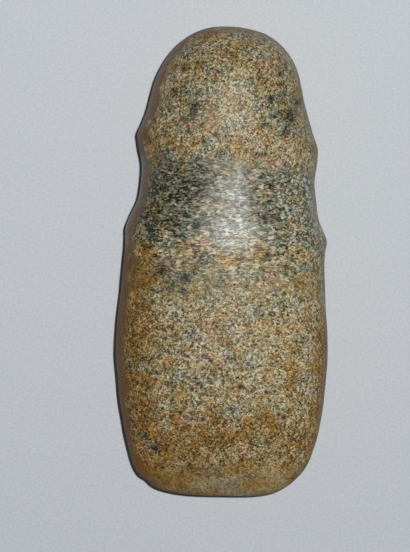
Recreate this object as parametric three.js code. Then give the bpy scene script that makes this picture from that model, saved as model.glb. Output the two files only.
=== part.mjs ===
// A full-grooved axe head of polished, speckled stone, lying on one of its broad faces.
//
// Millimetres, +Z up. +Y runs along the head from the bit (the cutting edge) to the poll
// (the rounded butt), and +X points to its right-hand edge as seen from above. The origin
// is on the ground, under the middle of the head.
import * as THREE from 'three';
import { ParametricGeometry } from 'three/addons/geometries/ParametricGeometry.js';

// ---------------------------------------------------------------- driving sizes

const length = 200;
const bitEnd = -length / 2;
const pollEnd = length / 2;

// The head as a plain rounded block, before its groove, ridges and rounded ends. `left`,
// `right` and `face` are how far each edge and each broad face stand from the centre line.
const block = [
  { y: bitEnd, left: 34.3, right: 34.2, face: 21.5 },
  { y: -72, left: 41.2, right: 41.5, face: 25.2 },
  { y: -36, left: 45, right: 45, face: 28 },
  { y: -10, left: 43.2, right: 43.4, face: 28.2 },
  { y: 30, left: 37.7, right: 40.7, face: 28.8 },
  { y: 68, left: 31.6, right: 33.6, face: 29.2 },
  { y: pollEnd, left: 27.9, right: 27.1, face: 27.6 },
];

// Each size closes over the last `reach` of the head. `bend` is how late it turns in, and
// `blunt` how flat the very end is.
const bitRounding = {
  left: { reach: 25, bend: 4, blunt: 3.2 },
  right: { reach: 25, bend: 3, blunt: 3.9 },
  face: { reach: 58, bend: 1.6, blunt: 1.7 },
};
const pollRounding = {
  left: { reach: 30, bend: 1.8, blunt: 2.5 },
  right: { reach: 30, bend: 3.1, blunt: 2.3 },
  face: { reach: 28, bend: 2.4, blunt: 2.2 },
};

// A hafting groove runs right round the head between two ridges. On the broad faces it is
// wider than on the edges, and its ridges are low swells. `slope` is how wide a flank is.
const upperRidge = {
  left: { y: 51.2, height: 3.3, slope: 8.1 },
  right: { y: 51.2, height: 2.7, slope: 8.1 },
  face: { y: 51, height: 0.5, slope: 8 },
};
const lowerRidge = {
  left: { y: 11.2, height: 1.3, slope: 4.6 },
  right: { y: 11.2, height: 1.9, slope: 4.6 },
  face: { y: -8, height: 0.3, slope: 10 },
};
const groove = {
  left: { y: 30.3, depth: 2.2, toBit: 12, toPoll: 12 },
  right: { y: 30.3, depth: 2.2, toBit: 12, toPoll: 12 },
  face: { y: 19, depth: 1.7, toBit: 20, toPoll: 22 },
};
const ridgeTip = 1.5; // how far a ridge's tip is worn round

// Groove and ridges slant across the head, down to its right-hand edge.
const slant = { rise: -0.09, y: 34.5, spread: 34.5 };

// How square each half of a cross-section is: 2 is an ellipse, and more is squarer.
const squareness = { left: 2.2, right: 2.15, extraAtBit: 0.6 };

// Each broad face is highest along a spine, this far right of the centre line at the widest place
// and less in step with the left edge.
const spineAtWidest = 3;
const widest = 45;

// The underside is a little flatter than the upper face, and more so past `from` towards the poll.
const underside = { share: 0.97, from: -20, lessPerMm: 0.0005 };
const restingWear = 0.8; // ground off the underside where the head lies

const ringPoints = 58;
const rings = 78;

// ---------------------------------------------------------------- outlines

const clamp01 = (t) => Math.min(1, Math.max(0, t));

// The smooth line through one of the block's sizes.
function blockSize(side, y) {
  const i = Math.max(0, block.findLastIndex((row, k) => row.y <= y && k < block.length - 1));
  const [from, to] = [block[i], block[i + 1]];
  const steepness = (k) => {
    const secant = (a, b) => (b[side] - a[side]) / (b.y - a.y);
    const [before, here, after] = [block[k - 1], block[k], block[k + 1]];
    if (!before) return secant(here, after);
    if (!after) return secant(before, here);
    const weight = (here.y - before.y) / (after.y - before.y);
    return (1 - weight) * secant(before, here) + weight * secant(here, after);
  };
  const span = to.y - from.y;
  const t = (y - from.y) / span;
  return (
    from[side] * (1 + 2 * t) * (1 - t) ** 2 +
    to[side] * (3 - 2 * t) * t ** 2 +
    span * t * (1 - t) * (steepness(i) * (1 - t) - steepness(i + 1) * t)
  );
}

function ridgeAt({ y: crest, height, slope }, y) {
  const fromTip = Math.hypot(y - crest, ridgeTip) - ridgeTip;
  return height * Math.exp(-fromTip / slope);
}

function grooveAt({ y: middle, depth, toBit, toPoll }, y) {
  const share = y < middle ? (middle - y) / toBit : (y - middle) / toPoll;
  return depth * Math.exp(-(share ** 4));
}

function roundingAt({ reach, bend, blunt }, fromEnd) {
  const share = clamp01(1 - fromEnd / reach);
  return (1 - share ** bend) ** (1 / blunt);
}

// How far the left edge, the right edge or a broad face stands from the centre line at y.
function halfSize(side, y) {
  const worked =
    blockSize(side, y) +
    ridgeAt(upperRidge[side], y) +
    ridgeAt(lowerRidge[side], y) -
    grooveAt(groove[side], y);
  const ends = roundingAt(bitRounding[side], y - bitEnd) * roundingAt(pollRounding[side], pollEnd - y);
  return worked * ends;
}

// ---------------------------------------------------------------- axe head

// Where the rings lie, evenly spaced along the left-hand outline from bit to poll.
function ringPlaces() {
  const samples = 6000;
  const places = [];
  const walked = [];
  for (let i = 0; i <= samples; i++) {
    const y = -Math.cos((Math.PI * i) / samples) * pollEnd;
    const step = i ? Math.hypot(y - places[i - 1], halfSize('left', y) - halfSize('left', places[i - 1])) : 0;
    places.push(y);
    walked.push(i ? walked[i - 1] + step : 0);
  }
  return Array.from({ length: rings + 1 }, (_, k) => {
    const wanted = (walked[samples] * k) / rings;
    return places[walked.findIndex((distance) => distance >= wanted)];
  });
}

// A point of the head before the ground wears it, `around` its ring at station y. A ring starts
// at the left edge and goes over the top, and half a step's shift gives each edge an upright facet.
function headPoint(around, y, target) {
  const angle = 2 * Math.PI * (around + 0.5 / ringPoints);
  const [across, up] = [-Math.cos(angle), Math.sin(angle)];
  const side = across < 0 ? 'left' : 'right';
  const square = squareness[side] + squareness.extraAtBit * clamp01(-y / pollEnd);
  const ring = (Math.abs(across) ** square + Math.abs(up) ** square) ** (-1 / square);
  const spine = (spineAtWidest * halfSize('left', y)) / widest;
  const x = spine + (halfSize(side, y) - Math.sign(across) * spine) * ring * across;
  const flattened = underside.share - underside.lessPerMm * Math.max(0, y - underside.from);
  const z = halfSize('face', y) * ring * up * (up < 0 ? flattened : 1);
  const lean = slant.rise * Math.exp(-(((y - slant.y) / slant.spread) ** 2));
  return target.set(x, y + lean * x, z);
}

function axeHead() {
  const places = ringPlaces();
  const lowest = Math.min(...places.map((y) => headPoint(0.75, y, new THREE.Vector3()).z));
  const ground = lowest + restingWear;
  const surface = (u, v, target) => {
    const k = Math.min(rings, Math.round(v * rings));
    headPoint(u, places[k], target);
    target.z = Math.max(0, target.z - ground);
  };
  const stone = new THREE.MeshStandardMaterial({ color: 0x8a7f65, roughness: 0.45, metalness: 0 });
  const mesh = new THREE.Mesh(new ParametricGeometry(surface, ringPoints, rings), stone);
  mesh.name = 'axe_head';
  return mesh;
}

const part = new THREE.Group();
part.add(axeHead());

export default part;
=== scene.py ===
# A full-grooved stone axe head, lying on a pale board.
# Its speckled stone is ground all over, and polished in the groove and on the poll.
import math
import bpy
import numpy as np
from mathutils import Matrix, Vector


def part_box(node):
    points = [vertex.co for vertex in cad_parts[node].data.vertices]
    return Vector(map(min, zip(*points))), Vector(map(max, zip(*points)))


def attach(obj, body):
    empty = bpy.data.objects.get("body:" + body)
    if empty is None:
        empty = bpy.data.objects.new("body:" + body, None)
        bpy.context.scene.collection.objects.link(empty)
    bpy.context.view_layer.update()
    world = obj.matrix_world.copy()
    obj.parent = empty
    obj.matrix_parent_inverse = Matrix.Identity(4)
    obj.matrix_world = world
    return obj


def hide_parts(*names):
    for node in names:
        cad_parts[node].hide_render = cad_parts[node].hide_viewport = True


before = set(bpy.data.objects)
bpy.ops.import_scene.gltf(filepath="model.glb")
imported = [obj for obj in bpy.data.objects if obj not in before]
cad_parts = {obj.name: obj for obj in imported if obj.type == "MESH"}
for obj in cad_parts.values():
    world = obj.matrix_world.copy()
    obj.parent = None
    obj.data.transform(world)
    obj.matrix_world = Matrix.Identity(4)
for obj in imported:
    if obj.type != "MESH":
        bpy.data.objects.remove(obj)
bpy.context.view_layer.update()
lowCorner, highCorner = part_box("axe_head")
headLength = 200  # mm from bit to poll
halfLength = headLength / 2
mm = (highCorner.y - lowCorner.y) / headLength  # every size below is in these, unless it says otherwise
print("frame loaded")


# turns sRGB hex to the linear colour, with full alpha, that a socket holds
def toLinear(hexColour):
    parts = [int(hexColour[i:i + 2], 16) / 255 for i in (0, 2, 4)]
    return [c / 12.92 if c <= 0.04045 else ((c + 0.055) / 1.055) ** 2.4 for c in parts] + [1]


# adds one node with its settings, its ramp's stops and its inputs, each found by name or by place among the
# enabled ones, and gives back the socket that it answers with
def addNode(tree, kind, inputs=None, output=None, stops=(), **settings):
    node = tree.nodes.new(kind)
    for name, value in settings.items():
        setattr(node, name, value)
    for i, (place, hexColour) in enumerate(stops):
        ramp = node.color_ramp.elements
        stop = ramp[i] if i < len(ramp) else ramp.new(place)
        stop.position, stop.color = place, toLinear(hexColour)
    live = [socket for socket in node.inputs if socket.enabled]
    for key, value in (inputs or {}).items():
        socket = live[key] if isinstance(key, int) else next(s for s in live if s.name == key)
        if isinstance(value, bpy.types.NodeSocket):
            tree.links.new(value, socket)
        else:
            socket.default_value = value
    return node.outputs[output] if output else next(s for s in node.outputs if s.enabled)


# rises smoothly from 0 at start to 1 at stop: with t the share of the way, 3t^2 - 2t^3
def fade(value, start, stop):
    t = np.clip((value - start) / (stop - start), 0, 1)
    return t * t * (3 - 2 * t)


# a band's share: it fades in over its first pair of places, and out again over its second
def bandShare(value, band):
    return fade(value, *band[0]) * fade(value, *band[1])


# a smooth random field of spread 1: the sum of cosine waves of about one wavelength in random directions
def waveField(points, wavelength, seed, waves=36):
    rng = np.random.default_rng(seed)
    direction = rng.normal(size=(waves, 3))
    direction /= np.linalg.norm(direction, axis=1, keepdims=True)
    pace = 2 * np.pi / wavelength * rng.uniform(0.6, 1.4, waves)
    turn = rng.uniform(0, 2 * np.pi, waves)
    return np.cos(points @ (direction * pace[:, None]).T + turn).sum(-1) * math.sqrt(2 / waves)


# the head's form: y runs from the bit at -100 to the poll at 100, x from left to right, and z up from its
# mid plane
form = {
    "places": (-100, -72, -36, -10, 30, 68, 100),  # stations of the plain block
    "block": {  # how far each edge and each broad face stands from the centre line there
        "left": (34.3, 41.2, 45, 43.2, 37.7, 31.6, 27.9),
        "right": (34.2, 41.5, 45, 43.4, 40.7, 33.6, 27.1),
        "face": (21.5, 25.2, 28, 28.2, 28.8, 29.2, 27.6),
    },
    "bit": {"left": (25, 4, 3.2), "right": (25, 3, 3.9), "face": (58, 1.6, 1.7)},  # reach, bend, blunt
    "poll": {"left": (30, 1.8, 2.5), "right": (30, 3.1, 2.3), "face": (28, 2.4, 2.2)},
    # y, height and slope of each ridge
    "upperRidge": {"left": (51.2, 3.3, 8.1), "right": (51.2, 2.7, 8.1), "face": (51, 0.5, 8)},
    "lowerRidge": {"left": (11.2, 1.3, 4.6), "right": (11.2, 1.9, 4.6), "face": (-8, 0.3, 10)},
    "ridgeTip": 1.5,  # radius that rounds each crest
    "groove": {  # y, depth, and how far it reaches towards the bit and the poll
        "left": (30.3, 2.2, 12, 12), "right": (30.3, 2.2, 12, 12), "face": (19, 1.7, 20, 22)},
    "slant": (-0.09, 34.5, 34.5),  # rise, y, spread
    "squareness": (2.2, 2.15, 0.6),  # left half, right half, extra at the bit
    "spine": 3,  # how far right of the centre line each broad face is highest, at the widest section
    "underside": (0.97, -20, 0.0005),  # its share of the upper face, and past a place, how much less per mm
    "restingWear": 0.8,  # how much of the lowest spots is worn flat
    "ringPoints": 360,
    "rings": 272,
    "outlineSteps": 6001,  # points walked along the outline to space the rings
}


# a cubic through the block's stations; the slope at each is the mean of its two secants, each weighted by the
# other's run
def blockSize(side, y):
    places, sizes = np.array(form["places"], float), np.array(form["block"][side])
    run = np.diff(places)
    secant = np.diff(sizes) / run
    inner = (secant[:-1] * run[1:] + secant[1:] * run[:-1]) / (run[:-1] + run[1:])
    slope = np.concatenate([secant[:1], inner, secant[-1:]])
    i = np.clip(np.searchsorted(places, y, side="right") - 1, 0, len(run) - 1)
    t = (y - places[i]) / run[i]
    ends = sizes[i] * (1 + 2 * t) * (1 - t) ** 2 + sizes[i + 1] * (3 - 2 * t) * t ** 2
    return ends + run[i] * t * (1 - t) * (slope[i] * (1 - t) - slope[i + 1] * t)


# block, plus a rounded exponential for each ridge, less a flat-bottomed bell for the groove, closed at both
# ends by (1 - share^bend)^(1/blunt), with share the part of the end's reach that is used up
def halfSize(side, y):
    size = blockSize(side, y)
    for ridge in ("upperRidge", "lowerRidge"):
        crest, height, slope = form[ridge][side]
        fromCrest = np.hypot(y - crest, form["ridgeTip"]) - form["ridgeTip"]
        size = size + height * np.exp(-fromCrest / slope)
    middle, depth, toBit, toPoll = form["groove"][side]
    size = size - depth * np.exp(-((y - middle) / np.where(y < middle, toBit, toPoll)) ** 4)
    for end, fromEnd in (("bit", y + halfLength), ("poll", halfLength - y)):
        reach, bend, blunt = form[end][side]
        size = size * (1 - np.clip(1 - fromEnd / reach, 0, 1) ** bend) ** (1 / blunt)
    return size


# how much the slant leans a section along the head, per mm of x: a bell about its place
def slantAt(y):
    rise, middle, spread = form["slant"]
    return rise * np.exp(-((y - middle) / spread) ** 2)


# ring stations, evenly spaced along the left outline
def ringPlaces(count):
    y = -halfLength * np.cos(np.linspace(0, np.pi, form["outlineSteps"]))
    walked = np.concatenate([[0], np.cumsum(np.hypot(np.diff(y), np.diff(halfSize("left", y))))])
    return np.interp(np.linspace(0, walked[-1], count + 1), walked, y)


# a superellipse ring about the spine: the direction (-cos, sin) of the angle, pushed out until
# |across|^n + |up|^n is 1, then stretched from the spine to each edge and face, and leant along the head by x
def headSurface(around, y):
    angle = 2 * np.pi * around
    across, up = -np.cos(angle), np.sin(angle)
    leftSquare, rightSquare, extra = form["squareness"]
    square = np.where(across < 0, leftSquare, rightSquare) + extra * np.clip(-y / halfLength, 0, 1)
    ring = (np.abs(across) ** square + np.abs(up) ** square) ** (-1 / square)
    width = np.where(across < 0, halfSize("left", y), halfSize("right", y))
    spine = form["spine"] * halfSize("left", y) / max(form["block"]["left"])
    x = spine + (width - np.sign(across) * spine) * ring * across
    share, start, lessPerMm = form["underside"]
    flattened = share - lessPerMm * np.maximum(0, y - start)
    z = halfSize("face", y) * ring * up * np.where(up < 0, flattened, 1)
    return np.stack(np.broadcast_arrays(x, y + slantAt(y) * x, z), axis=-1)


# marks of use and age on the form, and one painted sheen among its clouds; places are x, y on the upper face
wear = {
    "handWaves": ((34, 0.12), (15, 0.06), (6, 0.02)),  # wavelength and height of the uneven grinding
    "waveSeed": 10,  # of the first of these, and one more for each
    "quietEnds": 3,  # how far from either end the relief is whole
    "pits": (  # x, y, radius of the larger holes where soft grains fell out
        (7.9, -52.6, 1.5), (26.5, -65.5, 1.3), (24.3, -64.2, 0.9), (-7.6, -66.5, 1.1), (20.2, -76.3, 1.0),
        (18.6, 3, 1.2), (-18.9, -25.3, 0.8), (-30, -25.9, 0.8), (-10.7, -33.3, 0.8), (2.1, -34.8, 0.8),
        (-28.9, -40.8, 0.8), (-3.2, -47.7, 0.9), (-31.2, -53.6, 0.8), (-20.5, -58.6, 0.9), (16.8, -22.2, 0.8),
        (-17.6, 80, 0.9), (-15.9, 54, 0.9), (4.6, -53.4, 0.8), (10.9, -54.6, 0.7), (-24.9, -74.8, 1.1)),
    "otherPits": 70,  # how many more, mostly smaller, lie anywhere on the head
    "otherRadius": (0.55, 0.95),
    "otherSeed": 5,
    "endRings": 8,  # rings at either end that have none of these
    "pitDepth": 0.28,
    "bitNick": (-31.8, -94.5, 0.7, 2.4),  # x, y, depth, radius, through the edge
    "clots": (  # x, y, radius of the dark mineral clots
        (-13.1, 63.4, 2.3), (-21.7, 70.5, 1.4), (22.5, 78.9, 1.4), (19.2, 68.6, 1.9), (-18, 80.8, 1.4),
        (-25.2, -4.1, 1.8), (-15.8, -7.8, 2), (-21, -52.6, 1.5), (-27.9, -79.1, 2), (27.5, 61.5, 2.2),
        (24.6, 54.2, 1.8), (30.3, 67.9, 1.8), (15.6, 57, 1.5), (18.6, 3, 1.9), (-12, 14, 1.6)),
    "peach": (  # x, y, radius of the feldspar patches
        (-13.8, 56.1, 1.8), (12.1, 35.7, 1.4), (-8.8, 8.9, 2.4), (-25, 10.8, 2), (-1.9, 84.9, 1.5),
        (16.5, 81.8, 1.8), (23.7, 85.3, 1.4), (8, -53.9, 2.4), (10.5, -81.1, 2.8), (-3.5, -82.6, 2.2),
        (-19.5, 8.5, 1.6), (1.8, -69.7, 1.8), (-24.9, -74.8, 1.8)),
    "cloudsAndSheen": (  # x, y, radius, how much warmer, how much lighter
        # the second cloud, at 10, -12, is a painted sheen: the top of the blade made cooler and a little
        # lighter where the lamp glances off it
        (-21, -5, 8, -0.4, -0.10), (10, -12, 13, -0.22, 0.02), (25, 62, 9, -0.2, -0.10),
        (-14, 66, 8, -0.15, -0.06), (-18, 30, 16, -0.1, -0.07), (2, 44, 8, 0.15, 0.04),
        (-34, -62, 10, 0.15, -0.02), (30, -40, 14, 0.12, 0)),
}


# unit normals of a grid of points, ring by ring: the cross product of its two differences; the least length
# keeps the two ends, where a ring is one point, from a division by 0
def gridNormals(points, least=1e-9):
    alongRing = np.roll(points, -1, axis=1) - np.roll(points, 1, axis=1)
    alongHead = np.gradient(points, axis=0)
    normal = np.cross(alongRing, alongHead)
    return normal / np.maximum(np.linalg.norm(normal, axis=-1, keepdims=True), least)


# shares of 1 at the middle of each mark, falling as a bell of its radius, on the upper face alone or right
# through the head
def bells(points, marks, through=False):
    share = np.zeros(points.shape[:-1])
    for x, y, radius in marks:
        away = np.hypot(points[..., 0] - x, points[..., 1] - y)
        share = np.maximum(share, np.exp(-(away / radius) ** 2) * (through | (points[..., 2] > 0)))
    return share


# how deep each point lies in a hole, as a share: a bell for each named hole and for others drawn from a seed
def pitShare(points):
    share = bells(points, wear["pits"])
    rng = np.random.default_rng(wear["otherSeed"])
    flat = points[wear["endRings"]:-wear["endRings"]].reshape(-1, 3)
    middles = flat[rng.integers(0, len(flat), wear["otherPits"])]
    for middle, radius in zip(middles, rng.uniform(*wear["otherRadius"], wear["otherPits"])):
        share = np.maximum(share, np.exp(-(np.linalg.norm(points - middle, axis=-1) / radius) ** 2))
    return share


# heights added along the normal: hand waves, less the holes and the nick in the bit
def reliefHeight(points, pits):
    height = -wear["pitDepth"] * pits
    for i, (wavelength, size) in enumerate(wear["handWaves"]):
        height += size * waveField(points, wavelength, wear["waveSeed"] + i)
    x, y, depth, radius = wear["bitNick"]
    return height - depth * bells(points, ((x, y, radius),), through=True)


# stains, finish and some painted light of the surface; a pair of places is where a share is 0 and where it is
# 1
weather = {
    "ragged": ((9, 1.6, 31), (3.5, 0.8, 32)),  # wavelength, size and seed of the waves that fray the edges
    "fray": {"left": 1.5, "lowStart": 1.6, "lowStop": 1.2, "wall": 0.5},  # how many times that, if not once
    # the share to the right carries painted light: the right side painted lighter, as if lit more by the lamp
    # on that side
    "toRight": 40,  # how far from the centre line the share to the right is whole
    "groove": ((4, 12), (45, 37)),  # along the head: the dark rubbed band
    "drawnOut": ((-22, 6), (44, 38)),  # where the rubbing draws out the crystals
    "gloss": ((-2, 8), (46, 38)),  # where it polished them
    "pollGloss": (46, 60),
    "pollGlossShare": 0.6,
    "pollRim": (7, 2),  # from the poll's end
    "bit": (-83, -91),
    "wall": (5, 2),  # from the left edge, as seen from above: the rusty side, over its whole height
    "rightRim": (4, 1),  # from the right edge
    "leftOchre": (4, -3),  # from the left edge, past the reach of the next line
    "leftReach": (4, 10, (12, -4)),  # at the groove, how much more on the blade, and where the more comes in
    "lowOchre": ((-62, -70), (-92, -84)),  # across the lower blade
    "rightOchre": ((9, 3), (-16, -40)),  # from the right edge, and down the blade
    "ochreShares": (1, 0.85, 0.8),  # the most of the left, the low and the right one
    "warmth": {  # what each share adds to how warm the stone is; 0.5 is plain
        "plain": 0.5, "groove": -0.5, "ochre": 0.42, "pollRim": 0.2, "bit": 0.08, "clot": -0.5,
        "peach": 0.25},
    "lightness": {  # and to how much lighter it is; 0 is plain
        # the two shares to the right are painted light: the right of the stone, and the right of the groove,
        # painted lighter as the lamp on that side would light them
        "plain": 0.05, "paintedLightToRight": 0.06, "groove": -0.10, "paintedLightGrooveRight": 0.07, "ochre": -0.09,
        "pollRim": -0.05, "clot": -0.42, "peach": 0.10},
    "calm": {"wall": 0.8, "bit": 0.45, "pollRim": 0.3, "rightRim": 0.3},  # how far the crystals fade out
    "whole": {"groove": 0.8, "bit": 1},  # how far the finest holes are missing
}


# numbers spread over the surface, worked out from where a point lies on the head: warmth and lightness add up
# weighted shares, and the rest are shares from 0 to 1
def weatherMasks(points):
    x, y = points[..., 0], points[..., 1]
    station = y - slantAt(y) * x
    ragged = sum(size * waveField(points, wavelength, seed) for wavelength, size, seed in weather["ragged"])
    fray = weather["fray"]
    fromLeft = x + halfSize("left", station)
    fromRight = halfSize("right", station) - x
    narrow, more, onBlade = weather["leftReach"]
    reach = narrow + more * fade(station, *onBlade)
    outer, inner = weather["leftOchre"]
    leftOchre = fade(fromLeft + fray["left"] * ragged, reach + outer, reach + inner)
    start, stop = weather["lowOchre"]
    lowOchre = fade(y + fray["lowStart"] * ragged, *start) * fade(y + fray["lowStop"] * ragged, *stop)
    inward, downward = weather["rightOchre"]
    rightOchre = fade(fromRight + ragged, *inward) * fade(y, *downward)
    leftMost, lowMost, rightMost = weather["ochreShares"]
    share = {
        "plain": 1,
        # painted light: grows towards the right, where the right side is painted lighter
        "paintedLightToRight": np.clip(x / weather["toRight"], -1, 1),
        "groove": bandShare(station + ragged, weather["groove"]),
        "ochre": np.maximum.reduce([leftMost * leftOchre, lowMost * lowOchre, rightMost * rightOchre]),
        "pollRim": fade(halfLength - y, *weather["pollRim"]),
        "bit": fade(y + ragged, *weather["bit"]),
        "wall": fade(fromLeft + fray["wall"] * ragged, *weather["wall"]),
        "rightRim": fade(fromRight, *weather["rightRim"]),
        "clot": bells(points, wear["clots"]),
        "peach": bells(points, wear["peach"]),
    }
    share["paintedLightGrooveRight"] = share["groove"] * share["paintedLightToRight"]
    warmth, lightness, calm, whole = (
        sum(weight * share[name] for name, weight in weather[total].items())
        for total in ("warmth", "lightness", "calm", "whole"))
    # clouds of colour, and the one painted sheen, each a bell of its radius
    for cloudX, cloudY, radius, warmer, lighter in wear["cloudsAndSheen"]:
        cloud = bells(points, ((cloudX, cloudY, radius),))
        warmth = warmth + warmer * cloud
        lightness = lightness + lighter * cloud
    pollGloss = weather["pollGlossShare"] * fade(y, *weather["pollGloss"])
    return {
        "warmth": warmth,
        "lightness": lightness,
        "pink": share["peach"],
        "streak": bandShare(station, weather["drawnOut"]),
        "polish": np.clip(bandShare(station, weather["gloss"]) + pollGloss, 0, 1),
        "calm": np.clip(calm, 0, 1),
        "rust": share["wall"],
        "pit": pitShare(points),
        "pitted": 1 - np.clip(whole, 0, 1),
    }


# the head as one closed mesh: rings of quads from bit to poll, and a fan of triangles at each end
def makeHead():
    count = form["ringPoints"]
    around = (np.arange(count) + 0.5) / count
    y = ringPlaces(form["rings"])
    points = headSurface(around[None, :], y[:, None])
    masks = weatherMasks(points)
    fromEnds = np.minimum(y + halfLength, halfLength - y)[:, None]
    height = reliefHeight(points, masks["pit"]) * fade(fromEnds, 0, wear["quietEnds"])
    points = points + gridNormals(points) * height[..., None]
    straightDown = np.array([0.75])  # three quarters of the way around
    underneath = headSurface(straightDown, y[:, None])
    ground = underneath[..., 2].min() + form["restingWear"]
    points[..., 2] = np.maximum(points[..., 2] - ground, 0)
    inner = points[1:-1].reshape(-1, 3)
    vertices = np.concatenate([inner, points[:1, 0], points[-1:, 0]]) * mm
    rings = form["rings"] - 1
    first = np.arange(count)
    after = (first + 1) % count
    step = np.arange(rings - 1)[:, None] * count
    quads = np.stack([step + first, step + after, step + after + count, step + first + count], -1)
    quads = quads.reshape(-1, 4)
    last = (rings - 1) * count
    bitFan = np.stack([after, first, np.full(count, len(inner))], -1)
    pollFan = np.stack([last + first, last + after, np.full(count, len(inner) + 1)], -1)
    mesh = bpy.data.meshes.new("ground_stone_head")
    mesh.from_pydata(vertices.tolist(), [], quads.tolist() + bitFan.tolist() + pollFan.tolist())
    mesh.shade_smooth()
    for name, share in masks.items():
        values = np.concatenate([share[1:-1].ravel(), share[:1, 0], share[-1:, 0]])
        mesh.attributes.new(name, "FLOAT", "POINT").data.foreach_set("value", values.astype(np.float32))
    head = bpy.data.objects.new("ground_stone_head", mesh)
    head["masks"] = sorted(masks)
    bpy.context.scene.collection.objects.link(head)
    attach(head, "root")
    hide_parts("axe_head")
    print("head made:", len(mesh.vertices), "vertices")
    return head


# speckled greenstone, pecked to shape, ground, and polished by use: to the eye a matt mosaic of small
# crystals, dark, pale, green and ochre, darker and glossy in the groove and with a soft sheen on the poll
stone = {
    "grain": 0.56,  # across a crystal
    "bigGrain": 1.15,  # across a larger one
    "bend": (1.3, 0.7),  # size and reach of the wobble that keeps their edges from running straight
    "streak": 2.4,  # how many times longer the crystals look where the groove was rubbed
    "streakTurn": -12,  # degrees
    "cloud": 2.4,  # across a lighter or darker cloud of crystals
    "hueCloud": 6.5,  # across a warm, a cool or a pink one
    "scratch": 0.5,  # between the grinding marks
    "scratchTurn": -8,  # degrees
    "scratchRun": 0.07,  # how wide a mark is for its length
    "detail": {"bend": 1.0, "cloud": 2.0, "hueCloud": 3.0, "scratch": 1.0},  # finer layers in each noise
    "light": {"grain": 0.84, "bigGrain": 0.34, "cloud": 0.55, "pale": 0.45, "scratch": 0.2},
    "warm": {"warm": 2.2, "cloud": 0.4},
    "rosy": {"rosy": 3.0, "bigGrain": 0.2},
    "pinkRange": (0.1, 0.9, 0.8),  # where pink comes in, where it is whole, and its most
    "cool": ((0, "12140c"), (0.25, "4a4b38"), (0.5, "70715c"), (0.75, "999a84"), (1, "d8d8c6")),
    "plain": ((0, "1c1809"), (0.25, "605430"), (0.5, "887b50"), (0.75, "ae9f74"), (1, "e2d5b0")),
    "ochre": ((0, "2a1a04"), (0.25, "624614"), (0.5, "866426"), (0.75, "a6803c"), (1, "d8b87c")),
    "pink": ((0, "24150c"), (0.25, "664a36"), (0.5, "94705a"), (0.75, "bc977c"), (1, "ecccb0")),
    "speck": 2.1,  # across a cell whose middle may be one of the finest holes
    "speckSize": (0.3, 0.14),  # of its cell: where a hole starts, and where it is whole
    "speckChance": 0.42,
    "stains": {  # colour, where it comes in, where it is whole, and its most
        "rust": ("683e18", 0.2, 0.9, 0.7),
        "pitRim": ("7c4c20", 0.15, 0.55, 0.55),
        "pitFloor": ("150c06", 0.5, 0.85, 0.95),
    },
    "soak": {"grain": 0.4, "bigGrain": 0.3},  # how unevenly the crystals take up a stain
    "roughness": 0.72,
    "polished": -0.24,  # what full polish adds to the roughness
    "glint": -0.14,  # and what the smoothest crystals add
    "ior": 1.5,
    "relief": {"grain": 0.5, "scratch": 0.6},  # how far the crystals and the marks stand up
    "speckDepth": -2.0,  # and how far the holes sink
    "bump": (0.5, 0.04),  # strength, and height in mm
}


# adds up patterns, each less its middle value of 0.5 and times its weight, onto a first value
def addUp(tree, start, pattern, weights):
    total = start
    for name, weight in weights.items():
        spread = addNode(tree, "ShaderNodeMath", {0: pattern[name], 1: 0.5}, operation="SUBTRACT")
        total = addNode(tree, "ShaderNodeMath", {0: spread, 1: weight, 2: total}, operation="MULTIPLY_ADD")
    return total


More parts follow.
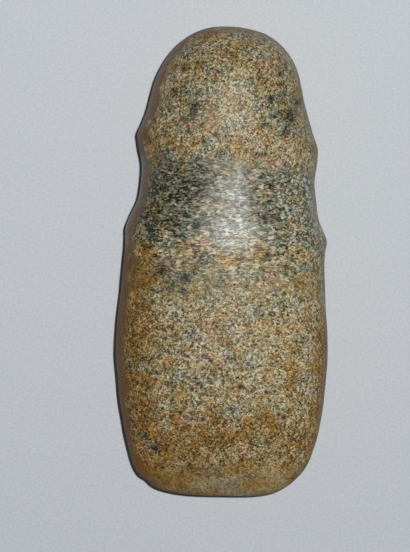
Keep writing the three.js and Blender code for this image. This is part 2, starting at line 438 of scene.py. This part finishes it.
def makeStone(head):
    material = bpy.data.materials.new("ground speckled greenstone")
    material.use_nodes = True
    tree = material.node_tree
    shader = tree.nodes["Principled BSDF"]
    mask = {name: addNode(tree, "ShaderNodeAttribute", output="Fac", attribute_name=name)
            for name in head["masks"]}
    place = addNode(tree, "ShaderNodeTexCoord", output="Object")
    inMm = addNode(tree, "ShaderNodeVectorMath", {0: place, "Scale": 1 / mm}, operation="SCALE")
    detail = stone["detail"]
    size, reach = stone["bend"]
    wobble = addNode(tree, "ShaderNodeTexNoise", {
        "Vector": inMm, "Scale": 1 / size, "Detail": detail["bend"]}, "Color")
    bent = addNode(tree, "ShaderNodeVectorMath", {
        0: wobble, 1: (reach,) * 3, 2: inMm}, operation="MULTIPLY_ADD")
    rubbed = addNode(tree, "ShaderNodeMapping", {
        "Vector": bent, "Rotation": (0, 0, math.radians(stone["streakTurn"])),
        "Scale": (1 / stone["streak"], 1, 1)})
    # crystals: small and larger cells of random shade, drawn out where the stone was rubbed
    crystal = {}
    for name in ("grain", "bigGrain"):
        asGround, drawnOut = (
            addNode(tree, "ShaderNodeTexVoronoi", {"Vector": where, "Scale": 1 / stone[name]}, "Color")
            for where in (bent, rubbed))
        crystal[name] = addNode(tree, "ShaderNodeMix", {
            "Factor": mask["streak"], "A": asGround, "B": drawnOut}, data_type="RGBA")
    hues = addNode(tree, "ShaderNodeTexNoise", {
        "Vector": bent, "Scale": 1 / stone["hueCloud"], "Detail": detail["hueCloud"]}, "Color")
    pattern = {}
    for name, source, channel in (
            ("grain", crystal["grain"], "Red"), ("glint", crystal["grain"], "Blue"),
            ("bigGrain", crystal["bigGrain"], "Green"),
            ("warm", hues, "Red"), ("rosy", hues, "Green"), ("pale", hues, "Blue")):
        pattern[name] = addNode(tree, "ShaderNodeSeparateColor", {"Color": source}, channel)
    pattern["cloud"] = addNode(tree, "ShaderNodeTexNoise", {
        "Vector": inMm, "Scale": 1 / stone["cloud"], "Detail": detail["cloud"]})
    along = addNode(tree, "ShaderNodeMapping", {
        "Vector": inMm, "Rotation": (0, 0, math.radians(stone["scratchTurn"])),
        "Scale": (stone["scratchRun"], 1, 1)})
    pattern["scratch"] = addNode(tree, "ShaderNodeTexNoise", {
        "Vector": along, "Scale": 1 / stone["scratch"], "Detail": detail["scratch"]})
    # how light a crystal is: a chance of its own, nudged by its neighbours and by the cloud that it lies in
    # the lightness mask it starts from holds painted light too: the right side painted lighter, and a painted
    # sheen on the blade's top
    start = addNode(tree, "ShaderNodeMath", {0: mask["lightness"], 1: 0.5}, operation="ADD")
    light = addUp(tree, start, pattern, stone["light"])
    light = addNode(tree, "ShaderNodeMix", {
        "Factor": mask["calm"], "A": light, "B": start}, data_type="FLOAT")
    warmth = addUp(tree, mask["warmth"], pattern, stone["warm"])
    pinkness = addUp(tree, mask["pink"], pattern, stone["rosy"])
    # its colour: from cool through plain to ochre as warmth goes from 0 to 1, and then towards pink
    hue = {name: addNode(tree, "ShaderNodeValToRGB", {0: light}, stops=stone[name])
           for name in ("cool", "plain", "ochre", "pink")}
    toPlain = addNode(tree, "ShaderNodeMapRange", {"Value": warmth, "From Min": 0.0, "From Max": 0.5})
    toOchre = addNode(tree, "ShaderNodeMapRange", {"Value": warmth, "From Min": 0.5, "From Max": 1.0})
    low, high, most = stone["pinkRange"]
    toPink = addNode(tree, "ShaderNodeMapRange", {
        "Value": pinkness, "From Min": low, "From Max": high, "To Max": most})
    colour = hue["cool"]
    for share, name in ((toPlain, "plain"), (toOchre, "ochre"), (toPink, "pink")):
        colour = addNode(tree, "ShaderNodeMix", {
            "Factor": share, "A": colour, "B": hue[name]}, data_type="RGBA")
    # the finest holes: the middles of some of the cells, where soft grains fell out
    cell = {"Vector": bent, "Scale": 1 / stone["speck"]}
    fromMiddle = addNode(tree, "ShaderNodeTexVoronoi", cell, "Distance")
    cellColour = addNode(tree, "ShaderNodeTexVoronoi", cell, "Color")
    chance = addNode(tree, "ShaderNodeSeparateColor", {"Color": cellColour}, "Red")
    low, high = stone["speckSize"]
    near = addNode(tree, "ShaderNodeMapRange", {"Value": fromMiddle, "From Min": low, "From Max": high})
    fallen = addNode(tree, "ShaderNodeMath", {0: chance, 1: stone["speckChance"]}, operation="LESS_THAN")
    fallen = addNode(tree, "ShaderNodeMath", {0: fallen, 1: mask["pitted"]}, operation="MULTIPLY")
    speck = addNode(tree, "ShaderNodeMath", {0: near, 1: fallen}, operation="MULTIPLY")
    holes = addNode(tree, "ShaderNodeMath", {0: mask["pit"], 1: speck}, operation="MAXIMUM")
    # rust and the holes' rims and floors soak in between the crystals, with ragged edges
    stained = {"rust": mask["rust"], "pitRim": holes, "pitFloor": holes}
    for name, (hexColour, low, high, most) in stone["stains"].items():
        share = addUp(tree, stained[name], pattern, stone["soak"])
        share = addNode(tree, "ShaderNodeMapRange", {
            "Value": share, "From Min": low, "From Max": high, "To Max": most})
        colour = addNode(tree, "ShaderNodeMix", {
            "Factor": share, "A": colour, "B": toLinear(hexColour)}, data_type="RGBA")
    tree.links.new(colour, shader.inputs["Base Color"])
    # smoother where it was polished and on some crystals, raised a little by crystals and marks, sunk by holes
    rough = addNode(tree, "ShaderNodeMath", {
        0: mask["polish"], 1: stone["polished"], 2: stone["roughness"]}, operation="MULTIPLY_ADD")
    rough = addNode(tree, "ShaderNodeMath", {
        0: pattern["glint"], 1: stone["glint"], 2: rough}, operation="MULTIPLY_ADD")
    tree.links.new(rough, shader.inputs["Roughness"])
    raised = addUp(tree, 0.5, pattern, stone["relief"])
    sunk = addNode(tree, "ShaderNodeMath", {
        0: holes, 1: stone["speckDepth"], 2: raised}, operation="MULTIPLY_ADD")
    strength, height = stone["bump"]
    bump = addNode(tree, "ShaderNodeBump", {"Height": sunk, "Strength": strength, "Distance": height * mm})
    tree.links.new(bump, shader.inputs["Normal"])
    shader.inputs["IOR"].default_value = stone["ior"]
    head.data.materials.append(material)
    print("stone made:", len(tree.nodes), "nodes")


# a board brushed with pale matt paint: to the eye an even grey, faintly mottled, and painted a little lighter
# towards the poll, as the lamp's light falls off towards the bit
board = {
    "halfWidth": 1.5,  # metres
    "shades": ((0.15, "b5bac0"), (1, "dfe4e8")),
    # the gradient is painted light: the lamp's falloff, lighter towards the poll
    "gradient": (-125, 115, 0.2, 0.45),  # from one place to another along the head, from one level to another
    "mottle": (0.9, 3.0, 0.6),  # spots per mm, finer layers, weight
    "roughness": 0.85,
}


def makeStage():
    mesh = bpy.data.meshes.new("pale_board")
    half = board["halfWidth"]
    corners = [(-half, -half, 0), (half, -half, 0), (half, half, 0), (-half, half, 0)]
    mesh.from_pydata(corners, [], [(0, 1, 2, 3)])
    floor = bpy.data.objects.new("pale_board", mesh)
    bpy.context.scene.collection.objects.link(floor)
    material = bpy.data.materials.new("brushed pale board")
    material.use_nodes = True
    tree = material.node_tree
    shader = tree.nodes["Principled BSDF"]
    place = addNode(tree, "ShaderNodeTexCoord", output="Object")
    inMm = addNode(tree, "ShaderNodeVectorMath", {0: place, "Scale": 1 / mm}, operation="SCALE")
    spots, layers, weight = board["mottle"]
    mottle = addNode(tree, "ShaderNodeTexNoise", {"Vector": inMm, "Scale": spots, "Detail": layers})
    along = addNode(tree, "ShaderNodeSeparateXYZ", {0: inMm}, "Y")
    # painted light: the board's level rises towards the poll, standing in for the lamp's falloff
    start, stop, low, high = board["gradient"]
    level = addNode(tree, "ShaderNodeMapRange", {
        "Value": along, "From Min": start, "From Max": stop, "To Min": low, "To Max": high})
    level = addNode(tree, "ShaderNodeMath", {0: mottle, 1: weight, 2: level}, operation="MULTIPLY_ADD")
    colour = addNode(tree, "ShaderNodeValToRGB", {0: level}, stops=board["shades"])
    tree.links.new(colour, shader.inputs["Base Color"])
    shader.inputs["Roughness"].default_value = board["roughness"]
    mesh.materials.append(material)
    print("board made")


# where the camera hangs over the head, its roll in degrees, the length it sees from top to bottom at the
# height of the focus plane, and that height
view = {"height": 1400, "x": -7.7, "y": -6.4, "roll": 0.9, "span": 235.152, "focusPlane": 28}


def makeCamera():
    lens = bpy.data.cameras.new("camera")
    lens.lens = lens.sensor_width * (view["height"] - view["focusPlane"]) / view["span"]
    camera = bpy.data.objects.new("camera", lens)
    camera.location = (view["x"] * mm, view["y"] * mm, view["height"] * mm)
    camera.rotation_euler = (0, 0, math.radians(view["roll"]))
    bpy.context.scene.collection.objects.link(camera)
    bpy.context.scene.camera = camera
    print("camera placed")


# one small bright lamp beside the lens, and a dim room
lights = {
    "room": "f4f6fa", "roomStrength": 0.06,
    "lampSize": 24, "lampPlace": (48, 34, 1400), "lampWatts": 15,
}


def makeLights():
    world = bpy.data.worlds.new("room")
    world.use_nodes = True
    background = world.node_tree.nodes["Background"]
    background.inputs["Color"].default_value = toLinear(lights["room"])
    background.inputs["Strength"].default_value = lights["roomStrength"]
    bpy.context.scene.world = world
    lamp = bpy.data.lights.new("lamp", "AREA")
    lamp.shape = "DISK"
    lamp.size = lights["lampSize"] * mm
    lamp.energy = lights["lampWatts"]
    place = bpy.data.objects.new("lamp", lamp)
    place.location = [part * mm for part in lights["lampPlace"]]
    bpy.context.scene.collection.objects.link(place)
    bpy.context.scene.view_settings.view_transform = "Standard"
    print("lights placed")


makeStone(makeHead())
makeStage()
makeCamera()
makeLights()
